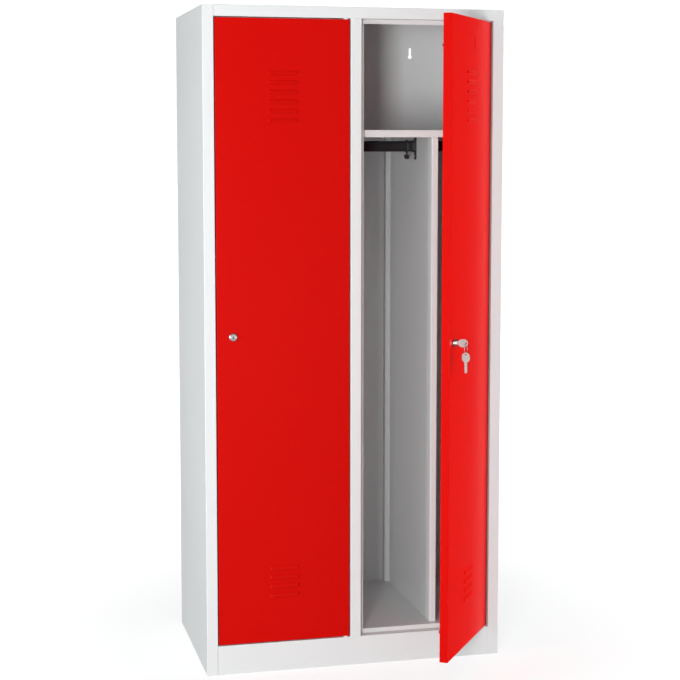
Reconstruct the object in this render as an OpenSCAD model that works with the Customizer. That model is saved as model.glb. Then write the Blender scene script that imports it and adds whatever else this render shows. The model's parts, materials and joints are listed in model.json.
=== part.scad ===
// Steel clothing locker: a folded sheet-steel cabinet with two bays. Each bay has a
// hat shelf, a divider, clothes rails with sliding hooks, and a door with a cam lock.
// Sizes are millimetres and +Z is up. The origin is the middle of the footprint on
// the floor. The doors face -Y and are hinged on their right-hand edges.

/* [Cabinet] */
// Overall width
body_width = 830; // [780:10:1000]
// Overall depth
body_depth = 500; // [440:10:600]
// Overall height
body_height = 1800; // [1650:10:2000]
// Thickness of the cabinet's sheet
body_sheet = 1; // [0.8:0.1:1.4]
// Inside radius of every fold
fold_inner = 0.6; // [0.3:0.1:1]
// Width of the three upright faces of the front frame
stile_width = 30; // [26:1:40]
// Height of the front frame above the doors
top_rail_height = 30; // [24:1:60]
// Height of the front below the doors
plinth_height = 80; // [60:1:120]
// How far the stop lips reach into the door openings
stop_lip = 12; // [10:1:16]
// Width of the folds round the back
rear_flange = 20; // [12:1:30]
// Width of the base frame's foot and head
base_flange = 25; // [15:1:40]
// Thickness of the base frame's sheet
base_sheet = 1.5; // [1:0.1:2]
// Short leg of the folds that close a sheet's rear or inner edge
corner_leg = 3; // [2.4:0.2:5]

/* [Wall fixing] */
// Distance between the two keyholes in the back
keyhole_spacing = 584; // [400:2:640]
// Distance from the top to the middle of a keyhole's round end
keyhole_drop = 103; // [60:1:150]
// Radius of a keyhole's round end
keyhole_radius = 6; // [5:0.5:8]
// Width of a keyhole's slot
keyhole_slot = 7; // [5:0.5:9]
// Rise of the slot above the middle of the round end
keyhole_rise = 27; // [15:1:35]

/* [Shelf and divider] */
// Height of the hat space, from the shelf to the top
hat_space = 325; // [250:5:400]
// Distance of the shelf and divider behind the front
shelf_setback = 45; // [38:1:80]
// Height of the shelf's front fold
shelf_fold = 20; // [14:1:30]
// Depth of the hem under the shelf's front fold
shelf_hem = 12; // [8:1:16]
// Distance from a door opening's left edge to the middle of the divider
divider_offset = 220; // [200:5:240]
// Width of the divider's front fold
divider_face = 18; // [12:1:28]
// Depth of the divider's return
divider_return = 15; // [8:1:30]

/* [Clothes rails] */
// Distance of the rails behind the front
rail_setback = 205; // [160:5:280]
// Distance from the top of the shelf to the middle of a rail
rail_drop = 45; // [42:1:60]
// Height of the oval rail
rail_height = 30; // [26:1:32]
// Width of the oval rail
rail_width = 15; // [12:1:20]
// Wall of the rail tube
rail_wall = 1.2; // [0.8:0.1:2]
// Thickness of a socket's plate
socket_base = 2.5; // [2:0.5:4]
// Length of a socket's collar
socket_collar = 8; // [5:1:12]
// Wall of a socket's collar
socket_wall = 1.8; // [1.2:0.2:3]
// Height of a socket's plate
socket_height = 75; // [56:1:80]
// Radius of a socket screw's shank
screw_radius = 1.9; // [1.5:0.1:2.2]
// Radius of a socket screw's head
screw_head = 3.4; // [2.8:0.1:3.6]

/* [Coat hooks] */
// Thickness of a hook, along the rail
hook_thickness = 5; // [4:0.5:8]
// Wall of the loop round the rail
hook_wall = 3; // [2:0.5:4]
// Inside radius of a hook's two bowls
bowl_radius = 7; // [5:0.5:10]
// Thickness of the bowls
bowl_wall = 4; // [3:0.5:5]
// Distance from the middle of the rail to the middle of the bowls
bowl_drop = 25; // [24:1:34]
// Distance of the hooks on the wide side from its ends
hook_margin = 26; // [20:1:45]

/* [Doors] */
// Gap round a closed door
door_gap = 3; // [2.6:0.1:4]
// Thickness of the doors' sheet
door_sheet = 1; // [0.8:0.1:1.4]
// Depth of the folded doors
door_thickness = 22; // [20:1:26]
// Width of the folds round the inside of a door
door_flange = 18; // [12:1:24]
// How far the right door stands open
right_door_angle = 55; // [0:1:110]
// Distance from a door's free edge to its stiffener
stiffener_inset = 78; // [74:1:86]
// Width of the stiffener's hat
stiffener_width = 36; // [24:1:38]
// Depth of the stiffener's hat
stiffener_depth = 13; // [10:1:16]
// Width of the stiffener's welding flanges
stiffener_flange = 10; // [6:1:12]
// Thickness of the rubber buffers
buffer_thickness = 2.7; // [2.4:0.1:4]
// Radius of the rubber buffers
buffer_radius = 4; // [3:0.5:5]
// Distance of the buffers from the door's ends and from the lock
buffer_end = 80; // [40:5:200]

/* [Louvres and name plate] */
// Louvres in the upper group
upper_louvres = 6; // [2:1:8]
// Louvres in the lower group
lower_louvres = 4; // [2:1:8]
// Distance between louvres
louvre_pitch = 25; // [18:1:30]
// Length of a louvre
louvre_length = 80; // [60:2:100]
// Height of a louvre's hood
louvre_height = 11; // [8:0.5:13]
// How far a louvre's hood stands out
louvre_depth = 3.5; // [2.5:0.5:5]
// Distance from a door's top edge to the foot of its highest louvre
upper_louvre_drop = 147; // [120:1:200]
// Distance from a door's bottom edge to the foot of its lowest louvre
lower_louvre_rise = 126; // [80:1:200]
// Width of the pressed name plate
plate_width = 55; // [40:1:80]
// Height of the pressed name plate
plate_height = 36; // [20:1:50]
// Depth of the pressed name plate
plate_depth = 0.8; // [0.4:0.1:1.2]
// Distance from a door's top edge to the name plate
plate_drop = 46; // [30:1:60]

/* [Hinges] */
// Radius of the hinge pins
pin_radius = 4; // [3:0.5:4.5]
// Wall of the hinge bushes
bush_wall = 1.2; // [0.8:0.1:1.4]
// How far a bush's flange reaches past its barrel
bush_rim = 1.3; // [0.8:0.1:1.6]
// Length of a bush's barrel
bush_length = 9; // [6:1:14]
// Height of the blocks that hold the pins
block_height = 10; // [6:1:16]
// Wall of a block in front of and behind its pin
block_wall = 2; // [1.5:0.1:2.4]
// Wall of a block on each side of its pin
block_cheek = 3.5; // [2.5:0.1:4]

/* [Locks] */
// Distance from a door's free edge to its lock
lock_inset = 44; // [40:1:46]
// Height of the locks above the floor
lock_height = 924; // [800:1:1100]
// Radius of the lock's head
head_radius = 11.5; // [11:0.5:14]
// How far the lock's head stands out
head_depth = 5; // [3:0.5:7]
// Radius of the lock's threaded body
barrel_radius = 9; // [8:0.5:10]
// Radius of the plug that turns
plug_radius = 6; // [5.5:0.1:6.5]
// Distance from the lock's axis to the tip of its cam
cam_reach = 45; // [42:1:50]
// Width of the cam
cam_width = 14; // [12:0.5:18]
// Thickness of the cam
cam_sheet = 2; // [1.5:0.5:3]
// Thickness of the nut behind the door
nut_height = 4; // [3:0.5:6]
// Wall of the nut at its corners
nut_wall = 4; // [3:0.5:5]
// How far the plug's face lies inside the head
plug_recess = 0.6; // [0:0.1:1.5]
// Shoulder of the plug round the tenon's corners
tenon_shoulder = 0.9; // [0.5:0.1:1.5]
// Radius of the cam screw
cam_bolt = 2; // [1.5:0.1:2.2]
// Depth of the cam screw in the plug
cam_bolt_depth = 3; // [2:0.5:4]
// Radius of the cam screw's head
cam_bolt_head = 5.4; // [5:0.1:6]

/* [Keys] */
// Thickness of a key
key_thickness = 2; // [1.6:0.1:2.4]
// Length of a key's oval bow
bow_length = 26; // [23:1:30]
// Height of a key's oval bow
bow_height = 21; // [16:1:22]
// Radius of the hole in the bow
bow_hole = 2.5; // [2:0.1:3]
// Distance from the hole to the end of the bow
bow_rim = 2.5; // [1.5:0.1:4]
// Distance of the bow from the lock's head
key_stand = 5; // [2:0.5:8]
// Width of a key's blade
blade_width = 7.6; // [6:0.2:8.4]
// Length of a key's blade
blade_length = 28; // [22:1:30]
// Cuts along the blade
blade_cuts = 5; // [3:1:6]
// Radius of the key ring, to the middle of its wire
ring_radius = 13; // [11:0.5:15]
// Radius of the key ring's wire
ring_wire = 0.8; // [0.6:0.1:1.1]

/* [Hidden] */
// Clearance of a piece at rest from what it is seated on
seat = 0.3;
// Radial clearance of a pin or plug that turns in its bore
running_fit = 0.05;
// Clearance round a screw, pin or tube that is fixed in its hole
fixed_fit = 0.1;
// Clearance of a hook's loop round its rail
loop_clearance = 0.4;
// Clearance of a key's blade in its keyway
blade_clearance = 0.2;
// Clearance of a turned cam behind the stop lip
cam_clearance = 0.5;
// Clearance of a door's corner as it swings past the frame
corner_clearance = 0.5;
// Overlap that carries a cut past the face that it opens
through = 1;
// Points in a fold, less one
fold_steps = 4;
$fn = 64;

grey_paint = [0.86, 0.87, 0.87];
red_paint = [0.86, 0.09, 0.06];
black_paint = [0.09, 0.09, 0.1];
bare_steel = [0.7, 0.71, 0.72];
nickel = [0.78, 0.78, 0.76];
rubber = [0.13, 0.13, 0.13];
white_plastic = [0.9, 0.9, 0.88];

front_y = -body_depth / 2;
rear_y = body_depth / 2;
left_x = -body_width / 2;
door_recess = door_thickness + buffer_thickness + seat;
stop_y = front_y + door_recess;
lip_rear_y = stop_y + body_sheet;
back_y = rear_y - 2 * body_sheet;
corner_y = rear_y - corner_leg;
sill_z = plinth_height;
floor_z = sill_z + stop_lip;
rail_z = body_height - top_rail_height;
roof_z = body_height - body_sheet;
opening_width = (body_width - 3 * stile_width) / 2;

shelf_z = body_height - hat_space;
shelf_y = front_y + shelf_setback;
hanger_y = front_y + rail_setback;
hanger_z = shelf_z - rail_drop;

door_width = opening_width - 2 * door_gap;
door_height = rail_z - sill_z - 2 * door_gap;
hinge_setback = pin_radius + door_sheet + block_wall;
swing_room = door_gap - corner_clearance;
swing_inset = (hinge_setback ^ 2 - swing_room ^ 2) / (2 * swing_room);
block_inset = pin_radius + block_cheek + door_sheet + fold_inner;
hinge_inset = max(swing_inset, block_inset) + corner_clearance;
hinge_x = door_width - hinge_inset;
bush_radius = pin_radius + bush_wall;
lock_z = lock_height - sill_z - door_gap;

louvre_centre = (louvre_height ^ 2 - louvre_depth ^ 2) / (2 * louvre_depth);
louvre_radius = louvre_centre + louvre_depth;

cam_y = door_recess + body_sheet + cam_clearance;
tenon = (plug_radius - tenon_shoulder) * sqrt(2);
plug_face = -head_depth + plug_recess;
bow_y = -head_depth - key_stand - bow_length / 2;
key_tip = bow_length / 2 + blade_length;
hole_offset = bow_length / 2 - bow_hole - bow_rim;
ring_y = bow_y - hole_offset;
ring_top = ring_wire + seat - bow_hole;
ring_low = ring_top - 2 * ring_radius;
spare_hole_z = ring_low + ring_wire + seat - bow_hole;

// Folded sheet. A path runs along one face and the sheet lies on its left.
function left_of(d) = [-d.y, d.x];
function heading(path, i) = (path[i + 1] - path[i]) / norm(path[i + 1] - path[i]);
function turns_left(before, after) = before.x * after.y - before.y * after.x > 0;

function bend(corner, before, after, radius) =
    let (centre = corner + (after - before) * radius)
    [
        for (step = [0 : fold_steps])
            let (a = 90 * step / fold_steps)
            centre - after * radius * cos(a) + before * radius * sin(a)
    ];

function sheet_face(path, shift, sheet) =
    let (last = len(path) - 1)
    [
        for (i = [0 : last])
            let (
                before = heading(path, max(i - 1, 0)),
                after = heading(path, min(i, last - 1)),
                straight = i == 0 || i == last,
                sideways = straight ? left_of(before) : left_of(before) + left_of(after),
                corner = path[i] + shift * sideways,
                outside = turns_left(before, after) == (shift == 0),
                radius = fold_inner + (outside ? sheet : 0)
            )
            each straight ? [corner] : bend(corner, before, after, radius)
    ];

function reversed(list) = [for (i = [len(list) - 1 : -1 : 0]) list[i]];

module folded(path, sheet) {
    polygon(concat(sheet_face(path, 0, sheet), reversed(sheet_face(path, sheet, sheet))));
}

// Draws a (y, z) outline and runs it along X
module along_x(x, length) {
    translate([x, 0, 0])
        rotate([90, 0, 90])
            linear_extrude(length)
                children();
}

// Draws an (x, z) outline and runs it along Y
module along_y(y, length) {
    translate([0, y + length, 0])
        rotate([90, 0, 0])
            linear_extrude(length)
                children();
}

// A round bar along Y
module bar_y(y, length, radius) {
    translate([0, y, 0])
        rotate([-90, 0, 0])
            cylinder(h = length, r = radius);
}

module oval(width, height) {
    offset_z = (height - width) / 2;
    translate([0, offset_z]) circle(d = width);
    translate([0, -offset_z]) circle(d = width);
    square([width, height - width], center = true);
}

// Places in the cabinet. A side is 0 for the left bay and 1 for the right bay.
function opening_x(side) = left_x + stile_width + side * (opening_width + stile_width);
function bay_left(side) = side == 0 ? left_x + body_sheet : 0;
function bay_right(side) = side == 0 ? -body_sheet : -left_x - body_sheet;
function divider_x(side) = opening_x(side) + divider_offset - divider_face / 2;
function lip_left(side) = opening_x(side) + stop_lip;
function lip_span() = opening_width - 2 * stop_lip;

// The two rails of a bay: where each starts and how long it is
function rail_starts(side) = [bay_left(side), divider_x(side) + body_sheet];
function rail_ends(side) = [divider_x(side), bay_right(side)];

// Cabinet. Each side is one sheet in three stretches: the flat panel, the stile that it is
// folded into in front, and the flange that it is folded into behind.
module side_panel() {
    color(grey_paint)
        translate([left_x, lip_rear_y, 0])
            cube([body_sheet, corner_y - lip_rear_y, roof_z]);
}

module stile() {
    color(grey_paint)
        linear_extrude(roof_z)
            folded([
                [left_x, lip_rear_y],
                [left_x, front_y],
                [left_x + stile_width, front_y],
                [left_x + stile_width, stop_y],
                [left_x + stile_width + stop_lip, stop_y]
            ], body_sheet);
}

module side_flange() {
    color(grey_paint)
        linear_extrude(roof_z)
            folded([
                [left_x + rear_flange, rear_y],
                [left_x, rear_y],
                [left_x, corner_y]
            ], body_sheet);
}

module top_panel() {
    span = body_width - 2 * stile_width;
    color(grey_paint)
        difference() {
            union() {
                along_x(left_x + stile_width, span)
                    folded([
                        [rear_y, body_height - rear_flange],
                        [rear_y, body_height],
                        [front_y, body_height],
                        [front_y, rail_z],
                        [stop_y - fold_inner, rail_z]
                    ], body_sheet);
                for (side = [0, 1])
                    along_x(lip_left(side), lip_span())
                        folded([
                            [stop_y - stop_lip / 2, rail_z],
                            [stop_y, rail_z],
                            [stop_y, rail_z - stop_lip]
                        ], body_sheet);
                for (x = [left_x, -left_x - stile_width])
                    translate([x, front_y, roof_z])
                        cube([stile_width, body_depth, body_sheet]);
            }
            bush_holes(rail_z);
        }
}

module bottom_panel() {
    span = body_width - 2 * stile_width;
    color(grey_paint)
        difference() {
            union() {
                along_x(left_x + stile_width, span)
                    folded([
                        [stop_y - fold_inner, sill_z],
                        [front_y, sill_z],
                        [front_y, 0]
                    ], body_sheet);
                for (side = [0, 1])
                    along_x(lip_left(side), lip_span())
                        folded([
                            [back_y, floor_z],
                            [stop_y, floor_z],
                            [stop_y, sill_z],
                            [stop_y - stop_lip / 2, sill_z]
                        ], body_sheet);
                translate([left_x + body_sheet, lip_rear_y, floor_z - body_sheet])
                    cube([body_width - 2 * body_sheet, back_y - lip_rear_y, body_sheet]);
            }
            bush_holes(sill_z - body_sheet);
        }
}

// The back lies inside the flanges, clear of the rounds in their corners
module back_panel() {
    edge = body_sheet + fold_inner;
    color(grey_paint)
        difference() {
            translate([left_x + edge, back_y, 0])
                cube([body_width - 2 * edge, body_sheet, roof_z - fold_inner]);
            for (x = [-1, 1] * keyhole_spacing / 2)
                translate([x, 0, body_height - keyhole_drop])
                    keyhole();
        }
}

module keyhole() {
    slot_top = keyhole_rise - keyhole_slot / 2;
    length = body_sheet + 2 * through;
    bar_y(back_y - through, length, keyhole_radius);
    translate([0, 0, slot_top])
        bar_y(back_y - through, length, keyhole_slot / 2);
    translate([-keyhole_slot / 2, back_y - through, 0])
        cube([keyhole_slot, length, slot_top]);
}

// A ring of channel under the floor, open to the middle
module base_frame() {
    width = body_width - 2 * body_sheet;
    base_y = lip_rear_y + fold_inner;
    depth = back_y - base_y;
    height = floor_z - body_sheet;
    color(grey_paint)
        translate([0, (back_y + base_y) / 2, height / 2])
            difference() {
                cube([width, depth, height], center = true);
                cube([
                    width - 2 * base_sheet,
                    depth - 2 * base_sheet,
                    height - 2 * base_sheet
                ], center = true);
                cube([
                    width - 2 * base_flange,
                    depth - 2 * base_flange,
                    height + 2 * through
                ], center = true);
            }
}

module centre_stile() {
    half = stile_width / 2;
    color(grey_paint)
        translate([0, 0, sill_z])
            linear_extrude(rail_z - sill_z)
                folded([
                    [-half - stop_lip, stop_y],
                    [-half, stop_y],
                    [-half, front_y],
                    [half, front_y],
                    [half, stop_y],
                    [half + stop_lip, stop_y]
                ], body_sheet);
}

// The partition is one sheet too: a flat stretch, and a fold that lies on the centre stile
module centre_partition() {
    color(grey_paint)
        translate([-body_sheet, lip_rear_y + corner_leg, floor_z])
            cube([body_sheet, back_y - lip_rear_y - corner_leg, roof_z - floor_z]);
}

module partition_flange() {
    color(grey_paint)
        translate([0, 0, floor_z])
            linear_extrude(roof_z - floor_z)
                folded([
                    [-(stile_width + stop_lip) / 2, lip_rear_y],
                    [0, lip_rear_y],
                    [0, lip_rear_y + corner_leg]
                ], body_sheet);
}

module hat_shelf(side) {
    color(grey_paint)
        along_x(bay_left(side), bay_right(side) - bay_left(side))
            folded([
                [back_y, shelf_z],
                [shelf_y, shelf_z],
                [shelf_y, shelf_z - shelf_fold],
                [shelf_y + shelf_hem, shelf_z - shelf_fold]
            ], body_sheet);
}

module divider(side) {
    x = divider_x(side);
    top = shelf_z - shelf_fold;
    upper_y = shelf_y + max(shelf_hem, divider_return);
    color(grey_paint)
        union() {
            translate([0, 0, floor_z])
                linear_extrude(top - floor_z)
                    folded([
                        [x, back_y],
                        [x, shelf_y],
                        [x + divider_face, shelf_y],
                        [x + divider_face, shelf_y + divider_return]
                    ], body_sheet);
            translate([x, upper_y, top - through])
                cube([body_sheet, back_y - upper_y, shelf_fold - body_sheet + through]);
        }
}

// Clothes rails and hooks
module clothes_rails(side) {
    starts = rail_starts(side);
    ends = rail_ends(side);
    color(black_paint)
        for (i = [0, 1])
            translate([0, hanger_y, hanger_z])
                along_x(starts[i] + socket_base, ends[i] - starts[i] - 2 * socket_base)
                    difference() {
                        oval(rail_width, rail_height);
                        oval(rail_width - 2 * rail_wall, rail_height - 2 * rail_wall);
                    }
}

// Where the sockets stand: the wall's face and the way that it looks
function socket_places() = [
    for (side = [0, 1], i = [0, 1])
        each [[rail_starts(side)[i], 1], [rail_ends(side)[i], -1]]
];
socket_width = rail_width + 2 * (fixed_fit + socket_wall);
screw_offset = (rail_height + socket_height) / 4 + (socket_wall + fixed_fit) / 2;

module at_sockets() {
    for (place = socket_places())
        translate([place.x, hanger_y, hanger_z])
            rotate([0, 0, place.y > 0 ? 0 : 180])
                children();
}

module rail_sockets() {
    collar = 2 * (fixed_fit + socket_wall);
    color(black_paint)
        at_sockets()
            difference() {
                union() {
                    along_x(0, socket_base)
                        oval(socket_width, socket_height);
                    along_x(0, socket_base + socket_collar)
                        oval(rail_width + collar, rail_height + collar);
                }
                along_x(socket_base, socket_collar + through)
                    oval(rail_width + 2 * fixed_fit, rail_height + 2 * fixed_fit);
                for (z = [-1, 1] * screw_offset)
                    translate([-through, 0, z])
                        rotate([0, 90, 0])
                            cylinder(h = socket_base + 2 * through, r = screw_radius + fixed_fit);
            }
}

module rail_screws() {
    head_height = screw_radius;
    color(bare_steel)
        at_sockets()
            for (z = [-1, 1] * screw_offset)
                translate([0, 0, z])
                    rotate([0, 90, 0]) {
                        cylinder(h = socket_base, r = screw_radius);
                        translate([0, 0, socket_base])
                            cylinder(h = head_height, r1 = screw_head, r2 = screw_head * 0.7);
                    }
}

// A double hook that hangs on a rail by its loop
module coat_hook(x) {
    bowl_centre = bowl_radius + bowl_wall / 2;
    inner_width = rail_width + 2 * loop_clearance;
    inner_height = rail_height + 2 * loop_clearance;
    loop_low = -inner_height / 2 - loop_clearance;
    color(black_paint)
        translate([0, hanger_y, hanger_z])
            along_x(x - hook_thickness / 2, hook_thickness) {
                translate([0, seat / 2 - loop_clearance])
                    difference() {
                        oval(inner_width + 2 * hook_wall, inner_height + 2 * hook_wall);
                        oval(inner_width, inner_height);
                    }
                translate([-bowl_wall / 2, -bowl_drop])
                    square([bowl_wall, bowl_drop + loop_low - hook_wall / 2]);
                for (y = [-1, 1] * bowl_centre)
                    translate([y, -bowl_drop]) {
                        difference() {
                            circle(r = bowl_radius + bowl_wall);
                            circle(r = bowl_radius);
                            translate([-2 * bowl_centre, 0])
                                square(4 * bowl_centre);
                        }
                        translate([sign(y) * bowl_centre, 0])
                            circle(d = bowl_wall);
                    }
            }
}

function wide_hook_x(side, far) =
    far ? divider_x(side) - hook_margin : bay_left(side) + 2 * hook_margin;
function narrow_hook_x(side) = (rail_starts(side)[1] + rail_ends(side)[1]) / 2;

// Doors. Each is drawn closed from its free bottom corner, then swung about its pins.
module on_door(side) {
    angle = side == 0 ? 0 : right_door_angle;
    translate([opening_x(side) + door_gap, front_y, sill_z + door_gap])
        translate([hinge_x, hinge_setback, 0])
            rotate([0, 0, angle])
                translate([-hinge_x, -hinge_setback, 0])
                    children();
}

module door_skin(side) {
    plate_z = door_height - plate_drop - plate_height / 2;
    color(red_paint)
        on_door(side)
            difference() {
                union() {
                    door_pan();
                    at_louvres()
                        louvre(louvre_radius, door_sheet, 0);
                    translate([door_width / 2, 0, plate_z])
                        along_y(door_sheet / 2, plate_depth + door_sheet / 2)
                            plate_outline(door_sheet);
                }
                at_louvres()
                    louvre(louvre_radius - door_sheet, door_sheet + through, through);
                translate([door_width / 2, 0, plate_z])
                    along_y(-through, plate_depth + through)
                        plate_outline(0);
                translate([lock_inset, 0, lock_z])
                    bar_y(-through, door_sheet + 2 * through, barrel_radius + fixed_fit);
                translate([hinge_x, hinge_setback, -through])
                    cylinder(h = door_height + 2 * through, r = pin_radius + fixed_fit);
            }
}

module door_pan() {
    linear_extrude(door_height)
        folded([
            [door_flange, door_thickness],
            [0, door_thickness],
            [0, 0],
            [door_width, 0],
            [door_width, door_thickness],
            [door_width - door_flange, door_thickness]
        ], door_sheet);
    inset = door_sheet / 2;
    for (z = [0, door_height - door_sheet])
        translate([inset, inset, z])
            cube([door_width - door_sheet, door_thickness - door_sheet, door_sheet]);
    for (z = [0, door_height - door_flange])
        translate([door_flange - inset, door_thickness - door_sheet, z])
            cube([door_width - 2 * door_flange + door_sheet, door_sheet, door_flange]);
}

module at_louvres() {
    lowest = [
        door_height - upper_louvre_drop - (upper_louvres - 1) * louvre_pitch,
        lower_louvre_rise
    ];
    counts = [upper_louvres, lower_louvres];
    for (group = [0, 1], i = [0 : counts[group] - 1])
        translate([door_width / 2, 0, lowest[group] + i * louvre_pitch])
            children();
}

module plate_outline(border) {
    square([plate_width + 2 * border, plate_height + 2 * border], center = true);
}

// Section of a louvre: x is out of the door and y is up. The hood curves out from the
// skin and its mouth is at the foot. The section reaches back into the door, and a cut
// reaches down past the mouth.
module louvre_section(radius, back, down) {
    intersection() {
        translate([-louvre_centre, 0])
            circle(r = radius);
        union() {
            translate([-back, 0])
                square([back + louvre_depth, louvre_height]);
            translate([0, -down])
                square([louvre_depth, louvre_height + down]);
        }
    }
}

// A straight hood whose two ends are quarter domes
module louvre(radius, back, down) {
    straight = louvre_length - 2 * louvre_depth;
    mirror([0, 1, 0])
        along_x(-straight / 2, straight)
            louvre_section(radius, back, down);
    for (end = [-1, 1])
        translate([end * straight / 2, 0, 0])
            rotate([0, 0, end < 0 ? 180 : -90])
                rotate_extrude(angle = 90)
                    louvre_section(radius, 0, down);
}

module door_stiffener(side) {
    left = stiffener_inset;
    right = stiffener_inset + stiffener_width;
    clear = door_flange + 2 * through;
    color(red_paint)
        on_door(side)
            translate([0, 0, clear])
                linear_extrude(door_height - 2 * clear)
                    folded([
                        [left - stiffener_flange, door_sheet],
                        [left, door_sheet],
                        [left, stiffener_depth],
                        [right, stiffener_depth],
                        [right, door_sheet],
                        [right + stiffener_flange, door_sheet]
                    ], door_sheet);
}

module hinge_blocks(side) {
    half_width = pin_radius + block_cheek;
    half_depth = pin_radius + block_wall;
    color(bare_steel)
        on_door(side)
            for (z = [door_sheet, door_height - door_sheet - block_height])
                translate([hinge_x, hinge_setback, z])
                    difference() {
                        translate([-half_width, -half_depth, 0])
                            cube([2 * half_width, 2 * half_depth, block_height]);
                        translate([0, 0, -through])
                            cylinder(h = block_height + 2 * through, r = pin_radius + fixed_fit);
                    }
}

module hinge_pins(side) {
    length = block_height + door_sheet + door_gap + bush_length;
    low = -door_gap - bush_length;
    color(bare_steel)
        on_door(side)
            for (z = [low, door_height - low - length])
                translate([hinge_x, hinge_setback, z])
                    cylinder(h = length, r = pin_radius);
}

module at_hinge_axes() {
    for (side = [0, 1])
        translate([opening_x(side) + door_gap + hinge_x, front_y + hinge_setback, 0])
            children();
}

module bush_holes(z) {
    at_hinge_axes()
        translate([0, 0, z - through])
            cylinder(h = body_sheet + 2 * through, r = bush_radius + fixed_fit);
}

module hinge_bushes() {
    bore = pin_radius + running_fit;
    color(white_plastic)
        at_hinge_axes() {
            translate([0, 0, sill_z])
                hinge_bush(bore);
            translate([0, 0, rail_z])
                mirror([0, 0, 1])
                    hinge_bush(bore);
        }
}

module hinge_bush(bore) {
    flange_height = door_gap - seat;
    difference() {
        union() {
            translate([0, 0, -bush_length])
                cylinder(h = bush_length + flange_height, r = bush_radius);
            cylinder(h = flange_height, r = bush_radius + bush_rim);
        }
        translate([0, 0, -bush_length - through])
            cylinder(h = bush_length + flange_height + 2 * through, r = bore);
    }
}

module door_buffers(side) {
    x = door_sheet + fold_inner + buffer_radius;
    color(rubber)
        on_door(side)
            for (z = [buffer_end, lock_z - buffer_end, door_height - buffer_end])
                translate([x, 0, z])
                    bar_y(door_thickness, buffer_thickness, buffer_radius);
}

// Locks. Each is drawn about its own axis: -Y is out of the door.
module on_lock(side) {
    on_door(side)
        translate([lock_inset, 0, lock_z])
            children();
}

module lock_housing(side) {
    bore = plug_radius + running_fit;
    length = head_depth + cam_y - seat;
    color(nickel)
        on_lock(side)
            translate([0, -head_depth, 0])
                rotate([-90, 0, 0])
                    difference() {
                        union() {
                            cylinder(h = head_depth * 0.4, r1 = head_radius * 0.8, r2 = head_radius);
                            translate([0, 0, head_depth * 0.4])
                                cylinder(h = head_depth * 0.6, r = head_radius);
                            cylinder(h = length, r = barrel_radius);
                        }
                        translate([0, 0, -through])
                            cylinder(h = length + 2 * through, r = bore);
                    }
}

module lock_nut(side) {
    color(bare_steel)
        on_lock(side)
            translate([0, door_sheet, 0])
                rotate([-90, 0, 0])
                    difference() {
                        cylinder(h = nut_height, r = barrel_radius + nut_wall, $fn = 6);
                        translate([0, 0, -through])
                            cylinder(h = nut_height + 2 * through, r = barrel_radius + fixed_fit);
                    }
}

module lock_plug(side) {
    start = plug_face - through;
    keyway_end = bow_y + key_tip + seat;
    keyway = [key_thickness, 0, blade_width] + [2, 0, 2] * blade_clearance;
    shoulder = cam_y - seat;
    tenon_end = cam_y + cam_sheet - fixed_fit;
    bolt_end = cam_y - cam_bolt_depth - seat;
    color(nickel)
        on_lock(side)
            difference() {
                union() {
                    bar_y(plug_face, shoulder - plug_face, plug_radius);
                    translate([-tenon / 2, shoulder - through, -tenon / 2])
                        cube([tenon, tenon_end - shoulder + through, tenon]);
                }
                translate([-keyway.x / 2, start, -keyway.z / 2])
                    cube(keyway + [0, keyway_end - start, 0]);
                bar_y(bolt_end, tenon_end + through - bolt_end, cam_bolt + fixed_fit);
            }
}

module lock_cam(side) {
    hole = tenon + 2 * fixed_fit;
    color(bare_steel)
        on_lock(side)
            along_y(cam_y, cam_sheet)
                difference() {
                    union() {
                        circle(d = cam_width);
                        translate([-cam_width / 2, 0])
                            square([cam_width, cam_reach - cam_width / 2]);
                        translate([0, cam_reach - cam_width / 2])
                            circle(d = cam_width);
                    }
                    square(hole, center = true);
                }
}

module cam_screw(side) {
    color(bare_steel)
        on_lock(side) {
            bar_y(cam_y - cam_bolt_depth, cam_bolt_depth + cam_sheet, cam_bolt);
            bar_y(cam_y + cam_sheet, cam_bolt, cam_bolt_head);
        }
}

// Keys. The outline lies flat with the bow about the origin and the blade along X.
// The cuts take three depths in turn.
module key_outline() {
    cut_pitch = (blade_length - key_stand) / (blade_cuts + 2);
    difference() {
        union() {
            rotate(90)
                oval(bow_height, bow_length);
            translate([0, -blade_width / 2])
                square([key_tip - blade_width / 2, blade_width]);
            translate([key_tip - blade_width / 2, 0])
                circle(d = blade_width);
        }
        translate([-hole_offset, 0])
            circle(r = bow_hole);
        for (i = [1 : blade_cuts])
            translate([key_tip - (i + 0.5) * cut_pitch, blade_width / 2])
                rotate(45)
                    square(cut_pitch * (4 + i % 3) / 8, center = true);
    }
}

module door_key() {
    color(nickel)
        on_lock(1)
            translate([0, bow_y, 0])
                along_x(-key_thickness / 2, key_thickness)
                    key_outline();
}

module key_ring() {
    color(bare_steel)
        on_lock(1)
            translate([0, ring_y, ring_top - ring_radius])
                rotate([90, 0, 0])
                    rotate_extrude()
                        translate([ring_radius, 0])
                            circle(r = ring_wire);
}

module spare_key() {
    color(nickel)
        on_lock(1)
            translate([-key_thickness / 2, ring_y, spare_hole_z - hole_offset])
                rotate([0, 90, 0])
                    linear_extrude(key_thickness)
                        key_outline();
}

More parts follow.
